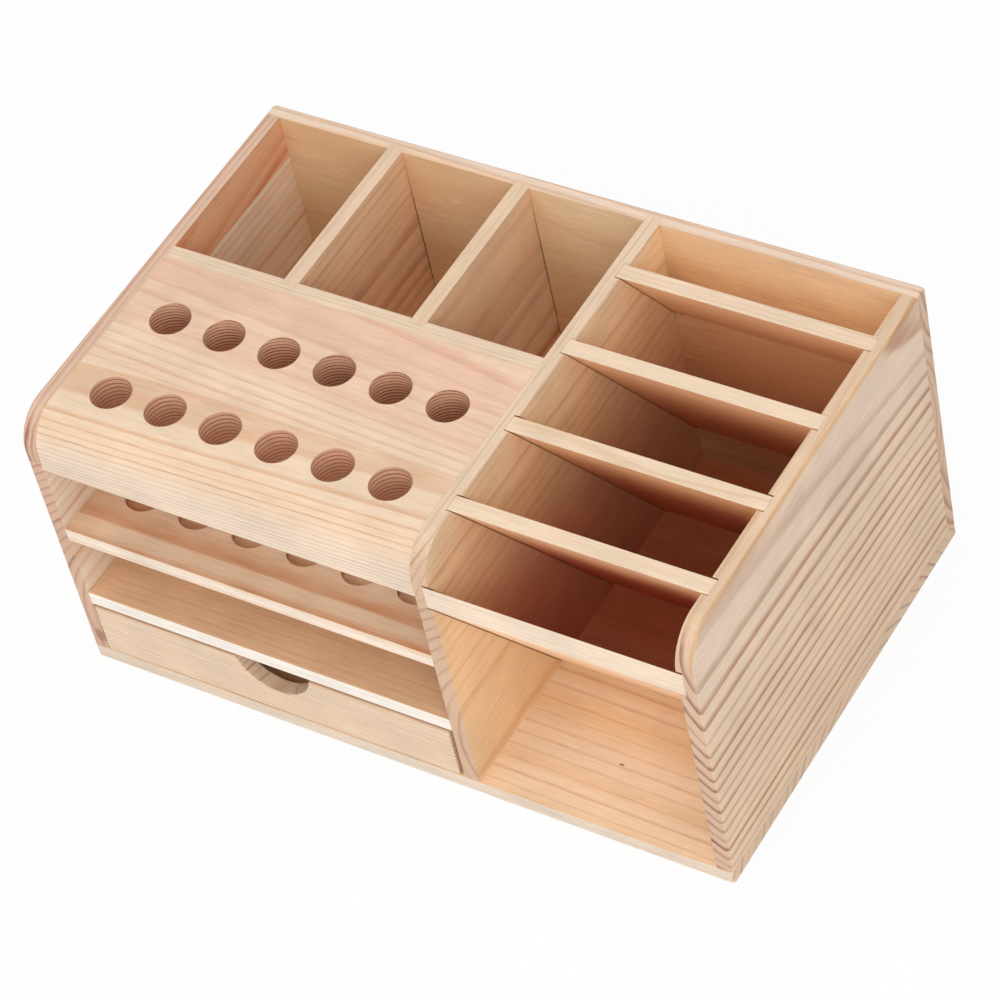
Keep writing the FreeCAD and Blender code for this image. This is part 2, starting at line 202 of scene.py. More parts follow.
def pithLine(tree, along, strip):
    # where the tree's centre is beside each spot of the board, in the two axes across the grain
    fromBow = addNode(tree, "ShaderNodeMath", {0: along, 1: strip["bowFrom"]}, operation="SUBTRACT")
    bowed = addNode(tree, "ShaderNodeMath", {0: fromBow, 1: fromBow}, operation="MULTIPLY")
    centre = []
    for pith, drift, bow in zip(strip["pith"], strip["drift"], strip["bow"]):
        straight = addNode(tree, "ShaderNodeMath", {0: along, 1: drift, 2: pith}, operation="MULTIPLY_ADD")
        centre.append(addNode(tree, "ShaderNodeMath", {0: bowed, 1: bow, 2: straight}, operation="MULTIPLY_ADD"))
    return centre


def growthRings(tree, along, across, rise, strip, boredWall=None):
    # noise that is stretched along the grain bends the rings; gives their lines and tint
    seed = strip["seed"]
    near = addNode(tree, "ShaderNodeMath", {0: along, 1: pineGrain["waveStretch"]}, operation="MULTIPLY")
    nearSpace = addNode(tree, "ShaderNodeCombineXYZ", {0: near, 1: across, 2: rise})
    nearSpace = addNode(tree, "ShaderNodeVectorMath",
                        {0: nearSpace, 1: [seed * apart for apart in pineGrain["waveApart"]]}, operation="ADD")
    slowNoise = addNode(tree, "ShaderNodeTexNoise", {
        "Vector": nearSpace, "Scale": 1 / pineGrain["slowWave"], "Detail": 1, "Roughness": 0.4})
    shortNoise = addNode(tree, "ShaderNodeTexNoise", {
        "Vector": nearSpace, "Scale": 1 / pineGrain["shortWave"], "Detail": 1.5, "Roughness": 0.5})
    wander, ripple = strip["wander"], strip["ripple"]
    bend = addNode(tree, "ShaderNodeMath", {0: slowNoise, 1: 2 * wander, 2: -wander}, operation="MULTIPLY_ADD")
    bend = addNode(tree, "ShaderNodeMath", {0: shortNoise, 1: 2 * ripple, 2: bend}, operation="MULTIPLY_ADD")

    centre = pithLine(tree, along, strip)
    offAcross = addNode(tree, "ShaderNodeMath", {0: across, 1: centre[0]}, operation="SUBTRACT")
    offRise = addNode(tree, "ShaderNodeMath", {0: rise, 1: centre[1]}, operation="SUBTRACT")
    offset = addNode(tree, "ShaderNodeCombineXYZ", {0: offAcross, 1: offRise})
    radius = addNode(tree, "ShaderNodeVectorMath", {0: offset}, operation="LENGTH")
    bent = addNode(tree, "ShaderNodeMath", {0: radius, 1: bend}, operation="ADD")

    # ring count: rings narrow outward by the power
    share = addNode(tree, "ShaderNodeMath", {0: bent, 1: 1 / strip["ringRadius"]}, operation="MULTIPLY")
    curve = addNode(tree, "ShaderNodeMath", {0: share, 1: strip["ringPower"]}, operation="POWER")
    rings = strip["ringRadius"] / (strip["ringWidth"] * strip["ringPower"])
    first = strip["ringStart"] + pineGrain["firstRing"]
    count = addNode(tree, "ShaderNodeMath", {0: curve, 1: rings, 2: first}, operation="MULTIPLY_ADD")
    if boredWall:
        finer = addNode(tree, "ShaderNodeMath",
                        {0: boredWall, 1: strip["boredFiner"], 2: 1}, operation="MULTIPLY_ADD")
        count = addNode(tree, "ShaderNodeMath", {0: count, 1: finer}, operation="MULTIPLY")
    within = addNode(tree, "ShaderNodeMath", {0: count}, operation="FRACT")
    number = addNode(tree, "ShaderNodeMath", {0: count}, operation="FLOOR")
    luckSeed = addNode(tree, "ShaderNodeMath", {0: number, 1: seed * pineGrain["luckApart"]}, operation="ADD")
    luck = addNode(tree, "ShaderNodeTexWhiteNoise", {"W": luckSeed}, noise_dimensions="1D")

    # earlywood turns slowly to latewood, then ends where the next spring began
    darkest = pineGrain["ringEnd"]
    latest = pineGrain["lateLatest"] - strip["lateShare"]
    lateStart = addNode(tree, "ShaderNodeMath",
                        {0: luck, 1: -pineGrain["lateLuck"], 2: latest}, operation="MULTIPLY_ADD")
    darkening = addNode(tree, "ShaderNodeMapRange", {"Value": within, "From Min": lateStart, "From Max": darkest},
                        interpolation_type="SMOOTHERSTEP")
    ending = addNode(tree, "ShaderNodeMapRange",
                     {"Value": within, "From Min": darkest, "From Max": 1, "To Min": 1, "To Max": 0},
                     interpolation_type="SMOOTHSTEP")
    line = addNode(tree, "ShaderNodeMath", {0: darkening, 1: ending}, operation="MULTIPLY")
    ringDepth = addNode(tree, "ShaderNodeMapRange", {
        "Value": luck, "To Min": pineGrain["weakestRing"] * strip["depth"], "To Max": strip["depth"]})
    if boredWall:
        ringDepth = addNode(tree, "ShaderNodeMath",
                            {0: boredWall, 1: pineGrain["boredDepth"], 2: ringDepth},
                            operation="MULTIPLY_ADD", use_clamp=True)
    line = addNode(tree, "ShaderNodeMath", {0: line, 1: ringDepth}, operation="MULTIPLY")
    if strip["core"][1]:
        core = addNode(tree, "ShaderNodeMapRange", {
            "Value": bent, "From Min": strip["core"][0], "From Max": strip["core"][1],
            "To Min": strip["coreDepth"]})
        line = addNode(tree, "ShaderNodeMath", {0: line, 1: core}, operation="MULTIPLY")
    noiseLow, noiseHigh = pineGrain["noiseEnds"]
    fade = addNode(tree, "ShaderNodeMapRange", {
        "Value": shortNoise, "From Min": noiseLow, "From Max": noiseHigh,
        "To Min": pineGrain["lineFade"][0], "To Max": pineGrain["lineFade"][1]})
    line = addNode(tree, "ShaderNodeMath", {0: line, 1: fade}, operation="MULTIPLY")

    heartShare = addNode(tree, "ShaderNodeMapRange",
                         {"Value": bent, "From Min": strip["heart"][0], "From Max": strip["heart"][1]},
                         interpolation_type="SMOOTHSTEP")
    tint = addNode(tree, "ShaderNodeMix", {
        "Factor": heartShare, "A": linearColour(strip["tone"]), "B": linearColour(strip["heartTone"])},
        data_type="RGBA")
    if strip["lineTone"] != "#ffffff":
        lineTint = addNode(tree, "ShaderNodeMix",
                           {"Factor": line, "A": plainWhite, "B": linearColour(strip["lineTone"])},
                           data_type="RGBA")
        tint = addNode(tree, "ShaderNodeMix", {"Factor": 1, "A": tint, "B": lineTint},
                       data_type="RGBA", blend_type="MULTIPLY")
    if strip["bandTone"] != "#ffffff":
        years = addNode(tree, "ShaderNodeMath",
                        {0: count, 1: 1 / strip["bandRings"], 2: seed}, operation="MULTIPLY_ADD")
        yearNoise = addNode(tree, "ShaderNodeTexNoise",
                            {"W": years, "Scale": 1, "Detail": 1, "Roughness": 0.5}, noise_dimensions="1D")
        darkYears = addNode(tree, "ShaderNodeMapRange", {
            "Value": yearNoise, "From Min": pineGrain["darkYears"][0], "From Max": pineGrain["darkYears"][1]},
            interpolation_type="SMOOTHSTEP")
        band = addNode(tree, "ShaderNodeMix",
                       {"Factor": darkYears, "A": plainWhite, "B": linearColour(strip["bandTone"])},
                       data_type="RGBA")
        tint = addNode(tree, "ShaderNodeVectorMath", {0: tint, 1: band}, operation="MULTIPLY")
    return line, tint


def surfaceKinds(tree, place, look):
    # which kind of surface this spot is, by the way it looks
    alongAxis = {"x": (1, 0, 0), "y": (0, 1, 0), "z": (0, 0, 1)}[look["grain"]]
    alongFacing = addNode(tree, "ShaderNodeVectorMath",
                          {0: (place, "Normal"), 1: alongAxis}, operation="DOT_PRODUCT")
    alongFacing = addNode(tree, "ShaderNodeMath", {0: alongFacing}, operation="ABSOLUTE")
    start, full = surfaceTurns["end"]
    sawnEnd = addNode(tree, "ShaderNodeMapRange", {"Value": alongFacing, "From Min": start, "From Max": full},
                      interpolation_type="SMOOTHSTEP")
    throughFacing = addNode(tree, "ShaderNodeVectorMath",
                            {0: (place, "Normal"), 1: look["through"]}, operation="DOT_PRODUCT")
    throughFacing = addNode(tree, "ShaderNodeMath", {0: throughFacing}, operation="ABSOLUTE")
    start, full = surfaceTurns["edge"]
    narrowEdge = addNode(tree, "ShaderNodeMapRange", {"Value": throughFacing, "From Min": start, "From Max": full},
                         interpolation_type="SMOOTHSTEP")
    insideFacing = addNode(tree, "ShaderNodeVectorMath",
                           {0: (place, "Normal"), 1: look["inside"]}, operation="DOT_PRODUCT")
    if look["bothInside"]:
        insideFacing = addNode(tree, "ShaderNodeMath", {0: insideFacing}, operation="ABSOLUTE")
    start, full = surfaceTurns["inner"]
    innerFace = addNode(tree, "ShaderNodeMapRange", {"Value": insideFacing, "From Min": start, "From Max": full})
    return sawnEnd, throughFacing, narrowEdge, innerFace


def slotShade(tree, inMm, axes, innerFace, look):
    # painted shade: light reaches the depth of a narrow slot only off its own red wood, so it is tinted darker and
    # redder there
    offFront = addNode(tree, "ShaderNodeVectorMath", {0: inMm, 1: slantedThrough}, operation="DOT_PRODUCT")
    inSlot = addNode(tree, "ShaderNodeMapRange", {
        "Value": offFront, "From Min": slotDepths["start"][0], "From Max": slotDepths["start"][1]})
    inSlot = addNode(tree, "ShaderNodeMath", {0: inSlot, 1: innerFace}, operation="MULTIPLY")
    deep = addNode(tree, "ShaderNodeMapRange", {
        "Value": (axes, "Z"), "From Min": slotDepths["rise"][0], "From Max": slotDepths["rise"][1]},
        interpolation_type="SMOOTHERSTEP")
    fromFront = addNode(tree, "ShaderNodeMapRange", {
        "Value": offFront, "From Min": slotDepths["fade"][0], "From Max": slotDepths["fade"][1],
        "To Min": 1, "To Max": look["slotShadeBack"]})
    deep = addNode(tree, "ShaderNodeMath", {0: deep, 1: fromFront}, operation="MULTIPLY")
    return addNode(tree, "ShaderNodeMath", {0: deep, 1: inSlot}, operation="MULTIPLY")


def sandedPine(name, look):
    look = {**pineDefaults, **look}
    material = bpy.data.materials.new(name)
    material.use_nodes = True
    tree = material.node_tree
    tree.nodes.clear()

    place = addNode(tree, "ShaderNodeTexCoord")
    inMm = addNode(tree, "ShaderNodeVectorMath",
                   {0: (place, "Object"), 1: (1000, 1000, 1000)}, operation="MULTIPLY")
    axes = addNode(tree, "ShaderNodeSeparateXYZ", {0: inMm})
    order = {"x": ("X", "Y", "Z"), "y": ("Y", "X", "Z"), "z": ("Z", "X", "Y")}[look["grain"]]
    along, across, rise = [(axes, axis) for axis in order]
    sawnEnd, throughFacing, narrowEdge, innerFace = surfaceKinds(tree, place, look)

    boredWall = None
    if look["bored"]:
        # the walls of the bored holes, scorched a little by the drill
        start = addNode(tree, "ShaderNodeMath", {0: across, 1: look["bored"][0]}, operation="GREATER_THAN")
        end = addNode(tree, "ShaderNodeMath", {0: across, 1: look["bored"][1]}, operation="LESS_THAN")
        boredWall = addNode(tree, "ShaderNodeMath", {0: start, 1: end}, operation="MULTIPLY")
        boredWall = addNode(tree, "ShaderNodeMath", {0: boredWall, 1: narrowEdge}, operation="MULTIPLY")

    strips = [{**stripDefaults, **strip} for strip in look["strips"]]
    line, tint = growthRings(tree, along, across, rise, strips[0], boredWall)
    joinedAlong = {"across": across, "rise": rise}[look["joinedAlong"]]
    for strip in strips[1:]:
        nextLine, nextTint = growthRings(tree, along, across, rise, strip, boredWall)
        beyond = addNode(tree, "ShaderNodeMapRange", {
            "Value": joinedAlong, "From Min": strip["from"] - pineGrain["jointHalf"],
            "From Max": strip["from"] + pineGrain["jointHalf"]})
        line = addNode(tree, "ShaderNodeMix", {"Factor": beyond, "A": line, "B": nextLine})
        tint = addNode(tree, "ShaderNodeMix", {"Factor": beyond, "A": tint, "B": nextTint}, data_type="RGBA")

    if look["innerDepth"] != 1:
        innerFade = addNode(tree, "ShaderNodeMapRange", {
            "Value": innerFace, "To Min": 1, "To Max": look["innerDepth"]})
        line = addNode(tree, "ShaderNodeMath", {0: line, 1: innerFade}, operation="MULTIPLY")
    # painted shade deep in the slots, which also hides the growth rings there
    if look["behindSlots"]:
        slotShadeShare = slotShade(tree, inMm, axes, innerFace, look)
        lineFade = addNode(tree, "ShaderNodeMath",
                           {0: slotShadeShare, 1: -slotDepths["lineFade"], 2: 1}, operation="MULTIPLY_ADD")
        line = addNode(tree, "ShaderNodeMath", {0: line, 1: lineFade}, operation="MULTIPLY")

    tones = []
    for part in ("", "Line"):
        tone = addNode(tree, "ShaderNodeMix", {
            "Factor": innerFace, "A": linearColour(look["face" + part]), "B": linearColour(look["inner" + part])},
            data_type="RGBA")
        tone = addNode(tree, "ShaderNodeMix", {
            "Factor": narrowEdge, "A": tone, "B": linearColour(look["edge" + part])}, data_type="RGBA")
        tone = addNode(tree, "ShaderNodeMix", {
            "Factor": sawnEnd, "A": tone, "B": linearColour(look["end" + part])}, data_type="RGBA")
        if look["bored"]:
            boredColour = linearColour(look["boredLine" if part else "boredTone"])
            tone = addNode(tree, "ShaderNodeMix",
                           {"Factor": boredWall, "A": tone, "B": boredColour}, data_type="RGBA")
        tones.append(tone)
    colour = addNode(tree, "ShaderNodeMix", {"Factor": line, "A": tones[0], "B": tones[1]}, data_type="RGBA")
    untinted = narrowEdge
    if look["tintInnerOnly"]:
        untinted = addNode(tree, "ShaderNodeMath", {0: 1, 1: innerFace}, operation="SUBTRACT")
    faceTint = addNode(tree, "ShaderNodeMix", {"Factor": untinted, "A": tint, "B": plainWhite}, data_type="RGBA")
    colour = addNode(tree, "ShaderNodeVectorMath", {0: colour, 1: faceTint}, operation="MULTIPLY")

    # fibres, and slow blotches of tone
    seed = strips[0]["seed"]
    stretched = addNode(tree, "ShaderNodeMath", {0: along, 1: pineGrain["fibreStretch"]}, operation="MULTIPLY")
    fibreSpace = addNode(tree, "ShaderNodeCombineXYZ", {0: stretched, 1: across, 2: rise})
    fibre = addNode(tree, "ShaderNodeTexNoise", {
        "Vector": fibreSpace, "Scale": 1 / pineGrain["fibre"], "Detail": 2, "Roughness": 0.6})
    blotchSpace = addNode(tree, "ShaderNodeVectorMath",
                          {0: inMm, 1: [seed * apart for apart in pineGrain["blotchApart"]]}, operation="ADD")
    blotch = addNode(tree, "ShaderNodeTexNoise", {
        "Vector": blotchSpace, "Scale": 1 / pineGrain["blotch"], "Detail": 2, "Roughness": 0.5})
    noiseLow, noiseHigh = pineGrain["noiseEnds"]
    fibreTone = addNode(tree, "ShaderNodeMapRange", {
        "Value": fibre, "From Min": noiseLow, "From Max": noiseHigh,
        "To Min": pineGrain["fibreTones"][0], "To Max": pineGrain["fibreTones"][1]})
    blotchTone = addNode(tree, "ShaderNodeMapRange", {
        "Value": blotch, "From Min": noiseLow, "From Max": noiseHigh,
        "To Min": 1 - look["blotch"], "To Max": 1 + look["blotch"]})
    toneDrift = addNode(tree, "ShaderNodeMath", {0: fibreTone, 1: blotchTone}, operation="MULTIPLY")
    colour = addNode(tree, "ShaderNodeVectorMath", {0: colour, 1: toneDrift}, operation="MULTIPLY")

    # arrises catch dirt and burnish: tinted where the surface turns from face to edge
    square = addNode(tree, "ShaderNodeMath", {0: throughFacing, 1: throughFacing}, operation="MULTIPLY")
    rest = addNode(tree, "ShaderNodeMath", {0: 1, 1: square}, operation="SUBTRACT")
    turning = addNode(tree, "ShaderNodeMath", {0: square, 1: rest}, operation="MULTIPLY")
    start, full = surfaceTurns["arris"]
    arris = addNode(tree, "ShaderNodeMapRange", {"Value": turning, "From Min": start, "From Max": full},
                    interpolation_type="SMOOTHSTEP")
    if look["arrisAbove"]:
        high = addNode(tree, "ShaderNodeMapRange", {
            "Value": (axes, "Z"), "From Min": look["arrisAbove"] - pineGrain["arrisRise"],
            "From Max": look["arrisAbove"]})
        arris = addNode(tree, "ShaderNodeMath", {0: arris, 1: high}, operation="MULTIPLY")
    arrisTint = addNode(tree, "ShaderNodeMix",
                        {"Factor": arris, "A": plainWhite, "B": linearColour(look["arris"])}, data_type="RGBA")
    colour = addNode(tree, "ShaderNodeVectorMath", {0: colour, 1: arrisTint}, operation="MULTIPLY")

    # painted shade: darker and redder deep in the slots
    if look["behindSlots"]:
        paintedSlotShade = addNode(tree, "ShaderNodeMix", {
            "Factor": slotShadeShare, "A": plainWhite, "B": linearColour(look["slotShadeTone"])}, data_type="RGBA")
        colour = addNode(tree, "ShaderNodeVectorMath", {0: colour, 1: paintedSlotShade}, operation="MULTIPLY")

    for mark in look["marks"]:
        away = addNode(tree, "ShaderNodeVectorMath", {0: inMm, 1: mark["at"]}, operation="SUBTRACT")
        away = addNode(tree, "ShaderNodeVectorMath",
                       {0: away, 1: [1 / size for size in mark["size"]]}, operation="MULTIPLY")
        away = addNode(tree, "ShaderNodeVectorMath", {0: away}, operation="LENGTH")
        uneven = addNode(tree, "ShaderNodeMath",
                         {0: fibre, 1: pineGrain["markFray"], 2: away}, operation="MULTIPLY_ADD")
        share = addNode(tree, "ShaderNodeMapRange", {
            "Value": uneven, "From Min": pineGrain["markFade"][0], "From Max": pineGrain["markFade"][1],
            "To Min": 0, "To Max": mark["depth"]},
            interpolation_type="SMOOTHSTEP")
        colour = addNode(tree, "ShaderNodeMix",
                         {"Factor": share, "A": colour, "B": linearColour(mark["tone"])}, data_type="RGBA")

    # sanding leaves the hard latewood a hair proud and the fibres faintly raised
    relief = addNode(tree, "ShaderNodeMath", {0: line, 1: pineGrain["reliefLine"]}, operation="MULTIPLY")
    relief = addNode(tree, "ShaderNodeMath",
                     {0: fibre, 1: pineGrain["reliefFibre"], 2: relief}, operation="MULTIPLY_ADD")
    bump = addNode(tree, "ShaderNodeBump", {
        "Height": relief, "Strength": pineGrain["reliefStrength"], "Distance": mm(pineGrain["relief"])})
    rough = addNode(tree, "ShaderNodeMapRange", {
        "Value": line, "To Min": pineGrain["roughness"][0], "To Max": pineGrain["roughness"][1]})
    shader = addNode(tree, "ShaderNodeBsdfPrincipled", {
        "Base Color": colour, "Roughness": rough, "IOR": 1.5, "Specular IOR Level": 0.35, "Normal": bump})
    addNode(tree, "ShaderNodeOutputMaterial", {"Surface": shader})
    return material


# the slanted boards are of one wood, and so are the drawer's hidden ones
slantedPine = {
    "through": slantedThrough, "inside": slantedThrough, "bothInside": True, "behindSlots": True,
    "inner": "#fad2ac", "innerLine": "#ecbe96",
    "edge": "#ecd2b6", "edgeLine": "#dab48c",
    "arris": "#ffffff",
}

drawerPine = {
    "face": "#f0c6a0", "faceLine": "#d29a70",
}

boards = {
    "right_side_panel": {
        "grain": "y", "through": (1, 0, 0), "inside": (-1, 0, 0), "behindSlots": True,
        "face": "#edd3bb", "faceLine": "#bd8a68", "inner": "#fbdcb4", "innerLine": "#e2b083",
        "edge": "#e0c1a2", "edgeLine": "#cea47c", "end": "#d8b69b", "endLine": "#925f4c",
        "arris": "#f8e6cc", "arrisAbove": 150.0,
        "strips": [
            {"pith": (255.0, 165.0), "bow": (-0.00019, 0.0), "bowFrom": -112.0, "ringWidth": 5.84,
             "ringRadius": 125.0, "ringPower": 1.23, "ringStart": 0.78, "wander": 0.9, "ripple": 0.5,
             "lateShare": 0.42, "depth": 1.2, "core": (72.0, 82.0), "coreDepth": 0.7,
             "heart": (88.0, 112.0), "heartTone": "#fffdf6", "seed": 1.0},
        ],
    },
    "left_side_panel": {
        "grain": "y", "through": (1, 0, 0), "inside": (1, 0, 0),
        "inner": "#fff0da", "innerLine": "#eabb9c",
        "edge": "#ddbca5", "edgeLine": "#c7947c", "end": "#d9b298", "endLine": "#965f4c",
        "tintInnerOnly": True,
        "strips": [
            {"pith": (-104.0, 30.0), "ringWidth": 4.4, "ringRadius": 110.0, "ringPower": 1.2,
             "wander": 1.4, "lateShare": 0.4, "depth": 0.75, "bandTone": "#fcf0ea", "seed": 2.0},
            {"from": 139.5, "pith": (-107.0, 159.0), "drift": (0.0, 0.13), "ringWidth": 3.2,
             "ringRadius": 60.0, "ringPower": 1.0, "wander": 1.0, "lateShare": 0.7, "tone": "#f3c8ac",
             "seed": 2.5},
        ],
        "marks": [
            # dark knot by its front foot
            {"at": (-169.0, -112.5, 17.0), "size": (3.0, 6.0, 6.0), "tone": "#a06a52", "depth": 0.7},
        ],
    },
    "middle_panel": {
        "grain": "y", "through": (1, 0, 0), "inside": (1, 0, 0), "behindSlots": True,
        "inner": "#f8dcb6", "innerLine": "#e0b080",
        "edge": "#e5cbaf", "edgeLine": "#c4966c", "end": "#dab799", "endLine": "#94604a",
        "slotShadeTone": "#ffd6d2",
        "strips": [
            {"pith": (101.0, 35.0), "ringWidth": 5.4, "ringRadius": 100.0, "ringPower": 1.2,
             "wander": 1.2, "lateShare": 0.34, "depth": 0.5, "tone": "#f6f2ee", "seed": 3.0},
            {"from": 136.0, "pith": (101.0, 118.0), "ringWidth": 3.8, "ringRadius": 70.0,
             "ringPower": 1.0, "wander": 1.0, "depth": 0.7, "seed": 3.5},
        ],
    },
    "tool_block": {
        "grain": "x", "through": (0, 0, 1), "joinedAlong": "across",
        "face": "#ebd0b4", "faceLine": "#d8a684",
        "edge": "#eed8c2", "edgeLine": "#bd8c64",
        "arris": "#fdf8f2",
        "bored": (-95.0, -15.0), "boredTone": "#eabc9c", "boredLine": "#8a4832",
        "strips": [
            {"pith": (-69.6, 240.0), "drift": (0.05, 0.0), "ringWidth": 3.6, "ringRadius": 77.0,
             "ringPower": 2.6, "ringStart": 0.03, "wander": 0.4, "ripple": 0.3, "lateShare": 0.24,
             "depth": 0.72, "lineTone": "#fffcf4", "boredFiner": 0.3, "seed": 4.0},
            {"from": -66.5, "pith": (35.0, 400.0), "drift": (0.0, -0.02), "ringWidth": 1.9,
             "ringRadius": 250.0, "ringPower": 1.0, "ringStart": 0.2, "wander": 0.7, "ripple": 0.15,
             "lateShare": 0.42, "depth": 0.5, "heart": (253.0, 248.0), "heartTone": "#fff9fb",
             "bandTone": "#fbf2f0", "bandRings": 3.0, "seed": 4.5},
        ],
    },
    "tool_shelf": {
        "grain": "x", "through": (0, 0, 1),
        "face": "#f6d8b8", "faceLine": "#cf8248",
        "edge": "#f6e4d0", "edgeLine": "#eccdb0",
        "strips": [
            {"pith": (-73.0, 35.0), "drift": (0.05, 0.02), "ringWidth": 6.4, "ringRadius": 66.0,
             "ringPower": 1.0, "ringStart": 0.55, "wander": 1.0, "lateShare": 0.6, "seed": 5.0},
        ],
    },
    "lower_shelf": {
        "grain": "x", "through": (0, 0, 1),
        "face": "#ecc49c", "faceLine": "#d9a778",
        "edge": "#faf2e8", "edgeLine": "#f2e0cc",
        "strips": [
            {"pith": (-30.0, 10.0), "ringWidth": 3.2, "depth": 0.35, "seed": 6.0},
        ],
    },
    "base_board": {
        "grain": "x", "through": (0, 0, 1), "inside": (0, 0, 1), "behindSlots": True,
        "inner": "#fae5cb", "innerLine": "#deb48c",
        "edge": "#e8d7c4", "edgeLine": "#e6cfb6", "end": "#e6caae", "endLine": "#9c6a58",
        "slotShadeTone": "#ffc8b0", "slotShadeBack": 1.0,
        "strips": [
            {"pith": (20.0, -55.0), "drift": (-0.02, 0.0), "ringWidth": 6.2, "ringRadius": 108.0,
             "ringPower": 1.0, "wander": 1.0, "lateShare": 0.2, "depth": 0.75, "bandTone": "#faf0e0",
             "seed": 7.0},
        ],
        "marks": [
            # pin knot
            {"at": (99.0, -78.0, 8.0), "size": (1.6, 0.8, 2.0), "tone": "#7a4f36", "depth": 0.8},
        ],
    },
    "back_board": {
        "grain": "x", "through": (0, 1, 0), "inside": (0, -1, 0),
        "inner": "#efd1a9", "innerLine": "#e0b086",
        "edge": "#ecd2bc", "edgeLine": "#dcb698",
        "blotch": 0.03, "innerDepth": 0.3,
        "strips": [
            {"pith": (180.0, 60.0), "drift": (0.02, 0.015), "ringWidth": 6.0, "wander": 2.5,
             "lateShare": 0.5, "depth": 0.9, "seed": 8.0},
            {"from": 52.0, "pith": (30.0, 95.0), "drift": (0.01, -0.02), "ringWidth": 4.2,
             "ringRadius": 80.0, "wander": 2.0, "depth": 0.9, "seed": 8.3},
            {"from": 118.0, "pith": (190.0, 170.0), "drift": (-0.02, 0.01), "ringWidth": 5.0,
             "wander": 2.5, "lateShare": 0.45, "depth": 0.9, "seed": 8.6},
        ],
        "marks": [
            # painted shade behind the slots, dark red like their depth, and resin along the top of the left
            # compartments
            {"at": (106.0, 104.5, 66.0), "size": (90.0, 6.0, 74.0), "tone": "#d88a58", "depth": 0.4},
            {"at": (-98.0, 104.5, 158.0), "size": (95.0, 2.5, 34.0), "tone": "#e7b784", "depth": 0.5},
            # pin knot
            {"at": (46.0, 104.5, 108.0), "size": (2.0, 3.0, 1.2), "tone": "#4a2a1a", "depth": 0.8},
            # dents that show pale
            {"at": (-72.0, 104.5, 141.0), "size": (4.0, 2.0, 1.2), "tone": "#f2dfc6", "depth": 0.7},
            {"at": (5.0, 104.5, 162.0), "size": (5.0, 2.0, 1.1), "tone": "#f2dfc6", "depth": 0.6},
            {"at": (-10.0, 104.5, 153.0), "size": (3.0, 2.0, 1.0), "tone": "#f2dfc6", "depth": 0.6},
            # dark lines down the corners beside the compartment dividers
            {"at": (-97.0, 104.5, 110.0), "size": (0.5, 1.2, 50.0), "tone": "#5f3a28", "depth": 0.8},
            {"at": (-27.0, 104.5, 105.0), "size": (0.5, 1.2, 58.0), "tone": "#5f3a28", "depth": 0.8},
        ],
    },
    "compartment_wall": {
        "grain": "x", "through": (0, 1, 0), "inside": (0, 1, 0),
        "edge": "#e8cfb4", "edgeLine": "#d9b898",
        "strips": [
            {"pith": (80.0, 158.0), "ringWidth": 2.2, "ringRadius": 72.0, "ringPower": 1.0,
             "wander": 2.0, "ripple": 0.8, "seed": 9.0},
        ],
    },
    "compartment_divider_1": {
        "grain": "y", "through": (1, 0, 0), "inside": (1, 0, 0),
        "inner": "#f8d4b4", "innerLine": "#d49a76",
        "edge": "#e2c6aa", "edgeLine": "#d4b190",
        "strips": [
            {"pith": (-50.0, 152.0), "ringWidth": 6.6, "ringRadius": 60.0, "ringPower": 1.0,
             "lateShare": 0.75, "depth": 0.75, "seed": 10.0},
            {"from": 127.5, "pith": (-165.0, 60.0), "ringWidth": 4.4, "ringRadius": 108.0,
             "ringPower": 1.0, "wander": 0.8, "depth": 0.5, "tone": "#f8f3ea", "seed": 10.5},
        ],
        "marks": [
            # the same corner, from its side
            {"at": (-97.0, 104.5, 108.0), "size": (1.2, 0.45, 54.0), "tone": "#5f3a28", "depth": 0.8},
        ],
    },
    "compartment_divider_2": {
        "grain": "y", "through": (1, 0, 0), "inside": (1, 0, 0),
        "inner": "#fbdcc0", "innerLine": "#d49a76",
        "edge": "#e2c6a6", "edgeLine": "#d3ae8d",
        "strips": [
            {"pith": (30.0, 130.0), "ringWidth": 10.0, "ringRadius": 70.0, "ringPower": 1.0,
             "ringStart": 0.45, "lateShare": 0.4, "seed": 11.0},
            {"from": 112.0, "pith": (-100.0, 140.0), "ringWidth": 5.0, "ringRadius": 70.0,
             "ringPower": 1.0, "depth": 0.3, "tone": "#f3eadb", "seed": 11.5},
        ],
        "marks": [
            # the same corner, from its side
            {"at": (-27.0, 104.5, 108.0), "size": (1.2, 0.45, 54.0), "tone": "#5f3a28", "depth": 0.8},
        ],
    },
    "slot_front_board": {
        **slantedPine, "face": "#f3ddc6", "faceLine": "#e6caaa",
        "strips": [
            {"pith": (-160.0, 10.0), "ringWidth": 3.0, "depth": 0.7, "seed": 12.0},
        ],
    },
    "slot_divider_1": {
        **slantedPine, "face": "#f1dabd", "faceLine": "#dfbd98",
        "strips": [
            {"pith": (-130.0, 20.0), "ringWidth": 4.5, "depth": 0.3, "seed": 13.0},
        ],
    },
    "slot_divider_2": {
        **slantedPine, "face": "#f0d6b6", "faceLine": "#d9b284",
        "strips": [
            {"pith": (-60.0, -40.0), "ringWidth": 2.6, "seed": 14.0},
        ],
    },
    "slot_divider_3": {
        **slantedPine, "face": "#f1d7ba", "faceLine": "#dfbd98",
        "strips": [
            {"pith": (0.0, 40.0), "ringWidth": 4.0, "depth": 0.3, "seed": 15.0},
        ],
    },
    "slot_divider_4": {
        **slantedPine, "face": "#efd5bc", "faceLine": "#d7ae8c",
        "strips": [
            {"pith": (170.0, 60.0), "ringWidth": 2.4, "seed": 16.0},
        ],
    },
    "drawer_front": {
        "through": (0, 1, 0),
        "face": "#ead1b8", "faceLine": "#d9b28c",
        "edge": "#e2c6aa", "edgeLine": "#cfa680", "end": "#ecd0b2", "endLine": "#a5653f",
        "arris": "#ffffff",
        "strips": [
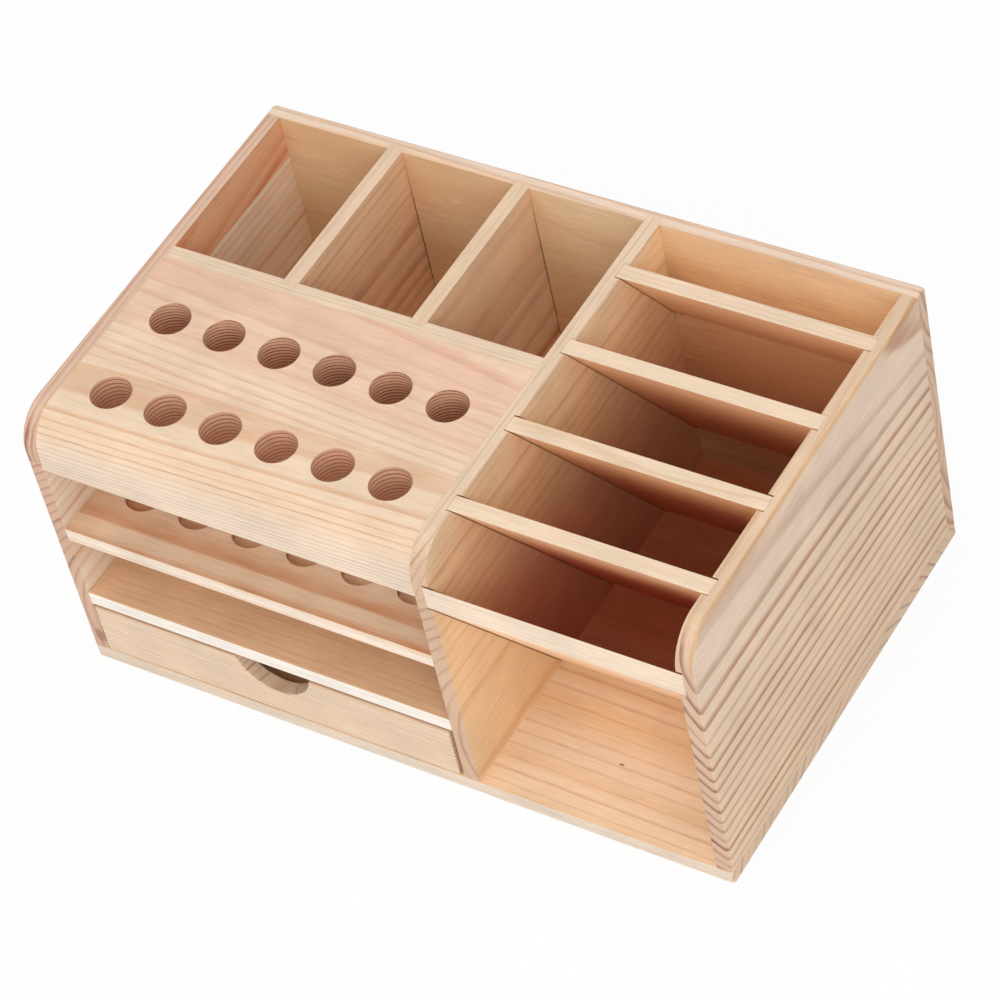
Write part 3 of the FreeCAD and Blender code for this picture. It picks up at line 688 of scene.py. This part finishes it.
            {"pith": (-100.0, 115.0), "drift": (0.0, -0.025), "ringWidth": 2.5, "ringPower": 1.0,
             "wander": 1.2, "ripple": 0.5, "lateShare": 0.45, "depth": 0.8, "seed": 17.0},
        ],
        "marks": [
            # painted shadow of the tool shelf's edge along its upper arris: a soft one and a dark core
            {"at": (-66.0, -112.5, 40.8), "size": (300.0, 3.0, 3.0), "tone": "#d9b48e", "depth": 0.6},
            {"at": (-66.0, -112.5, 40.8), "size": (300.0, 3.0, 1.1), "tone": "#a0704a", "depth": 0.7},
        ],
    },
    "drawer_left_side": {
        **drawerPine, "grain": "y", "through": (1, 0, 0),
        "strips": [
            {"pith": (-100.0, 0.0), "seed": 18.0},
        ],
    },
    "drawer_right_side": {
        **drawerPine, "grain": "y", "through": (1, 0, 0),
        "strips": [
            {"pith": (90.0, 0.0), "seed": 19.0},
        ],
    },
    "drawer_back": {
        **drawerPine, "through": (0, 1, 0),
        "strips": [
            {"pith": (40.0, 10.0), "seed": 20.0},
        ],
    },
    "drawer_bottom": {
        **drawerPine, "through": (0, 0, 1),
        "strips": [
            {"pith": (0.0, -300.0), "seed": 21.0},
        ],
    },
}

# mm and degrees round an arris; boards glued flush to a neighbour keep theirs small
easing = {
    "radius": 0.2, "turn": 28.0, "steps": 3,
    "radiusOf": {
        "drawer_front": 0.7, "base_board": 0.5, "tool_shelf": 0.4, "lower_shelf": 0.4, "slot_front_board": 0.35,
        "slot_divider_1": 0.35, "slot_divider_2": 0.35, "slot_divider_3": 0.35, "slot_divider_4": 0.35,
    },
    "joinWithin": 0.01, "flatWithin": 0.5,      # corners and facets of the solid that count as one
}


def easeArrises(board, radius, look):
    # sandpaper has taken the sharpness off every arris
    weld = board.modifiers.new("joinFaces", "WELD")
    weld.merge_threshold = mm(look["joinWithin"])
    flatten = board.modifiers.new("mergeFlat", "DECIMATE")
    flatten.decimate_type = "DISSOLVE"
    flatten.angle_limit = math.radians(look["flatWithin"])
    bevel = board.modifiers.new("easedArris", "BEVEL")
    bevel.width = mm(radius)
    bevel.segments = look["steps"]
    bevel.limit_method = "ANGLE"
    bevel.angle_limit = math.radians(look["turn"])
    bevel.use_clamp_overlap = True
    bevel.miter_outer = "MITER_ARC"
    shading = board.modifiers.new("flatFaces", "WEIGHTED_NORMAL")
    shading.keep_sharp = False
    shading.weight = 100


for name, look in boards.items():
    board = nodes[name]
    board.data.materials.clear()
    board.data.materials.append(sandedPine("sandedPine_" + name, look))
    easeArrises(board, easing["radiusOf"].get(name, easing["radius"]), easing)
print("pine on", len(boards), "boards")


# wood glue squeezed up behind the two rear slanted boards, dried amber and sanded flush; all in mm
glueSeams = {
    "boards": ("slot_divider_3", "slot_divider_4"),
    "ends": {"left": (40.05, 43.0), "right": (167.0, 169.95)},      # the glued ends of each board
    "boardThick": 7.4, "gap": 0.6, "clear": 0.03,                   # it stays clear of both sides of the gap
    "deep": 5.0, "below": 0.1,                                      # down the gap, and under its rim
    "softEdge": 0.08,
    "colour": "#d9b88e", "dustColour": "#efd9bd",
    "dustClouds": 700,                                              # in a metre: 1.4 mm, coarse so that it shows
    "dustShare": (0.35, 0.65),                                      # of their noise, from clear to dusty
    "scratch": 0.1,                                                 # left by the sanding
}


def driedGlue(look):
    # clear amber glue clouded with sanding dust: smoother and glossier to the eye than the wood
    material = bpy.data.materials.new("driedGlue")
    material.use_nodes = True
    tree = material.node_tree
    tree.nodes.clear()
    place = addNode(tree, "ShaderNodeTexCoord")
    dust = addNode(tree, "ShaderNodeTexNoise", {
        "Vector": (place, "Object"), "Scale": look["dustClouds"], "Detail": 3})
    share = addNode(tree, "ShaderNodeMapRange", {
        "Value": dust, "From Min": look["dustShare"][0], "From Max": look["dustShare"][1]})
    colour = addNode(tree, "ShaderNodeMix", {
        "Factor": share, "A": linearColour(look["colour"]), "B": linearColour(look["dustColour"])},
        data_type="RGBA")
    bump = addNode(tree, "ShaderNodeBump", {"Height": dust, "Strength": 0.3, "Distance": mm(look["scratch"])})
    shader = addNode(tree, "ShaderNodeBsdfPrincipled", {
        "Base Color": colour, "Roughness": 0.42, "IOR": 1.48, "Normal": bump})
    addNode(tree, "ShaderNodeOutputMaterial", {"Surface": shader})
    return material


def glueSeam(name, board, end, look, material):
    # a sliver that fills the groove's play from the top down along the board
    low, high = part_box(board)
    down = Vector((0, slantedThrough[2], -slantedThrough[1]))
    near = Vector((0, low.y + mm(look["boardThick"] + look["clear"]) / slantedThrough[1], high.z))
    far = near + Vector((0, mm(look["gap"] - 2 * look["clear"]) / slantedThrough[1], 0))
    corners = []
    for x in end:
        for point in (near, far):
            upper = point + down * mm(look["below"]) / slantedThrough[1]
            lower = point + down * mm(look["deep"])
            corners += [(mm(x), upper.y, upper.z), (mm(x), lower.y, lower.z)]
    sides = [(0, 1, 3, 2), (4, 6, 7, 5), (0, 4, 5, 1), (2, 3, 7, 6), (0, 2, 6, 4), (1, 5, 7, 3)]
    mesh = bpy.data.meshes.new(name)
    mesh.from_pydata(corners, [], sides)
    mesh.materials.append(material)
    seam = bpy.data.objects.new(name, mesh)
    bpy.context.scene.collection.objects.link(seam)
    soften = seam.modifiers.new("softEdge", "BEVEL")
    soften.width = mm(look["softEdge"])
    soften.segments = 2
    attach(seam, "carcass")


glueFinish = driedGlue(glueSeams)
for board in glueSeams["boards"]:
    for side, end in glueSeams["ends"].items():
        glueSeam("glue_" + board + "_" + side, board, end, glueSeams, glueFinish)
print("glue seams filled")


# soft light from all round, as in a white tent: way towards each lamp, and watts
studio = {
    "floor": "#fbfbfb",
    "floorGlow": 0.92,      # how much of the seen floor is plain white paper rather than its shading
    "floorReach": 6.0,      # m each way
    "floorDrop": 0.2,       # mm under the feet of the object, so that the two never share a plane
    "worldLight": 0.22,
    "aim": (0, 0, 0.08),    # m, where the lamps look
    "lampSize": 1.3, "lampAway": 2.0,       # m
    "lamps": {
        "frontLow": ((0.0, -1.0, 0.35), 7.5),
        "frontLeft": ((-0.6, -0.8, 1.1), 5.9),
        "frontRight": ((0.9, -1.0, 0.75), 5.9),
        "frontRightHigh": ((0.8, -0.9, 1.1), 5.5),
        "right": ((1.0, -0.2, 0.5), 4.4),
        "overhead": ((0.0, 0.1, 1.0), 14.0),
        "left": ((-1.0, 0.0, 0.5), 3.4),
        "behind": ((0.0, 1.0, 0.9), 3.4),
    },
}


def softLamp(name, way, power, look):
    data = bpy.data.lights.new(name, "AREA")
    data.shape = "DISK"
    data.size = look["lampSize"]
    data.energy = power
    lamp = bpy.data.objects.new(name, data)
    aim = Vector(look["aim"])
    lamp.location = aim + Vector(way).normalized() * look["lampAway"]
    lamp.rotation_euler = (aim - lamp.location).to_track_quat("-Z", "Y").to_euler()
    bpy.context.scene.collection.objects.link(lamp)


def seenDirectly(tree):
    # 1 for what the camera, a gloss or a clear thing shows, 0 for light on its way
    ray = addNode(tree, "ShaderNodeLightPath")
    seen = addNode(tree, "ShaderNodeMath",
                   {0: (ray, "Is Camera Ray"), 1: (ray, "Is Glossy Ray")}, operation="MAXIMUM")
    return addNode(tree, "ShaderNodeMath",
                   {0: seen, 1: (ray, "Is Transmission Ray")}, operation="MAXIMUM")


def makeFloor(look):
    # matt paper sweep: even and without gloss, its own glow hides where it ends
    mesh = bpy.data.meshes.new("studioFloor")
    reach = look["floorReach"]
    mesh.from_pydata([(-reach, -reach, 0), (reach, -reach, 0), (reach, reach, 0), (-reach, reach, 0)],
                     [], [(0, 1, 2, 3)])
    floor = bpy.data.objects.new("studioFloor", mesh)
    floor.location.z = -mm(look["floorDrop"])
    bpy.context.scene.collection.objects.link(floor)
    paper = bpy.data.materials.new("mattPaperSweep")
    paper.use_nodes = True
    tree = paper.node_tree
    tree.nodes.clear()
    share = addNode(tree, "ShaderNodeMath", {0: seenDirectly(tree), 1: look["floorGlow"]}, operation="MULTIPLY")
    shaded = addNode(tree, "ShaderNodeBsdfDiffuse", {"Color": linearColour(look["floor"])})
    glow = addNode(tree, "ShaderNodeEmission", {"Color": plainWhite, "Strength": 1})
    mixed = addNode(tree, "ShaderNodeMixShader", {0: share, 1: shaded, 2: glow})
    addNode(tree, "ShaderNodeOutputMaterial", {"Surface": mixed})
    mesh.materials.append(paper)


def makeWorld(look):
    world = bpy.data.worlds.new("studioRoom")
    bpy.context.scene.world = world
    world.use_nodes = True
    tree = world.node_tree
    tree.nodes.clear()
    room = addNode(tree, "ShaderNodeBackground", {"Color": plainWhite, "Strength": look["worldLight"]})
    seen = addNode(tree, "ShaderNodeBackground", {"Color": plainWhite, "Strength": 1})
    mixed = addNode(tree, "ShaderNodeMixShader", {0: seenDirectly(tree), 1: room, 2: seen})
    addNode(tree, "ShaderNodeOutputWorld", {"Surface": mixed})


makeFloor(studio)
makeWorld(studio)
for name, (way, power) in studio["lamps"].items():
    softLamp(name + "Lamp", way, power, studio)
bpy.context.scene.view_settings.view_transform = "Standard"
print("studio lit")
